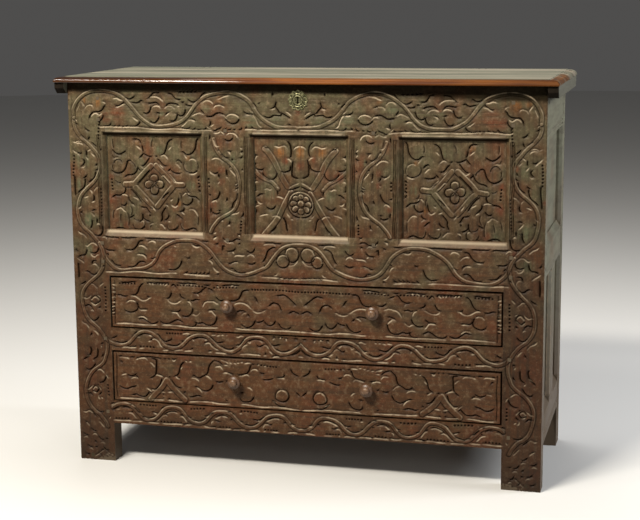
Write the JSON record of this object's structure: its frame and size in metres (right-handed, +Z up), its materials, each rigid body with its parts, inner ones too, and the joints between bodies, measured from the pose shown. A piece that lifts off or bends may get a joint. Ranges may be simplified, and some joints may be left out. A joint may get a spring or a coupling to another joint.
{
  "type": "mule chest",
  "caption": "Joined oak chest with a hinged lid over a deep well and a pair of side-hung drawers, its front carved all over with vines, leaves and tulips under worn paint.",
  "frame": {"origin": "on the floor, in the middle of the object's outer box", "axes": "+Z up, +X along the front to the right as seen from the front, -Y out of the front"},
  "size_m": [1.214, 0.478, 0.966],
  "materials": {
    "carved_oak": "carved oak with worn grey-green and red-brown paint",
    "painted_oak": "flat oak with worn grey-green paint",
    "lid_pine": "worn pale grey-green paint over pine",
    "plain_wood": "bare aged oak and pine",
    "peg_oak": "riven oak pegs",
    "knob_wood": "dark polished turned wood",
    "iron": "forged black iron",
    "plate_brass": "dull greenish brass"
  },
  "bodies": {
    "case": {"floor_boards": "plain_wood", "front_bottom_rail": "carved_oak", "front_drawer_rail": "carved_oak", "front_middle_rail": "carved_oak", "front_muntin_left": "carved_oak", "front_muntin_right": "carved_oak", "front_panel_centre": "carved_oak", "front_panel_left": "carved_oak", "front_panel_right": "carved_oak", "front_top_rail": "carved_oak", "hinge_rail_eyes": "iron", "joint_pegs": "peg_oak", "keyhole_plate": "plate_brass", "left_side_bottom_rail": "painted_oak", "left_side_lower_panels": "painted_oak", "left_side_middle_rail": "painted_oak", "left_side_muntin": "painted_oak", "left_side_top_rail": "painted_oak", "left_side_upper_panel": "painted_oak", "lock_case": "iron", "lower_drawer_runners": "plain_wood", "post_front_left": "carved_oak", "post_front_right": "carved_oak", "post_rear_left": "painted_oak", "post_rear_right": "painted_oak", "rear_bottom_rail": "plain_wood", "rear_lower_muntin": "plain_wood", "rear_lower_panels": "plain_wood", "rear_middle_rail": "plain_wood", "rear_top_rail": "plain_wood", "rear_upper_muntin": "plain_wood", "rear_upper_panels": "plain_wood", "right_side_bottom_rail": "painted_oak", "right_side_lower_panels": "painted_oak", "right_side_middle_rail": "painted_oak", "right_side_muntin": "painted_oak", "right_side_top_rail": "painted_oak", "right_side_upper_panel": "painted_oak", "upper_drawer_runners": "plain_wood"},
    "lid": {"hinge_lid_loops": "iron", "lid_board": "lid_pine", "lid_cleat_pegs": "peg_oak", "lid_left_cleat": "lid_pine", "lid_right_cleat": "lid_pine", "lock_staple": "iron"},
    "upper_drawer": {"upper_drawer_back": "plain_wood", "upper_drawer_bottom_boards": "plain_wood", "upper_drawer_front": "carved_oak", "upper_drawer_knobs": "knob_wood", "upper_drawer_left_side": "plain_wood", "upper_drawer_right_side": "plain_wood"},
    "lower_drawer": {"lower_drawer_back": "plain_wood", "lower_drawer_bottom_boards": "plain_wood", "lower_drawer_front": "carved_oak", "lower_drawer_knobs": "knob_wood", "lower_drawer_left_side": "plain_wood", "lower_drawer_right_side": "plain_wood"},
    "lock_bolt": {"lock_bolt": "iron"}
  },
  "joints": [
    {"name": "lid_hinge", "type": "hinge", "parent": "case", "child": "lid", "pos_m": [0, 0.231, 0.943], "axis": [-1, 0, 0], "range_deg": [0, 100]},
    {"name": "upper_drawer_slide", "type": "slide", "parent": "case", "child": "upper_drawer", "axis": [0, -1, 0], "range_m": [0, 0.28]},
    {"name": "lower_drawer_slide", "type": "slide", "parent": "case", "child": "lower_drawer", "axis": [0, -1, 0], "range_m": [0, 0.28]},
    {"name": "lock_bolt_slide", "type": "slide", "parent": "case", "child": "lock_bolt", "axis": [1, 0, 0], "range_m": [0, 0.016]}
  ]
}
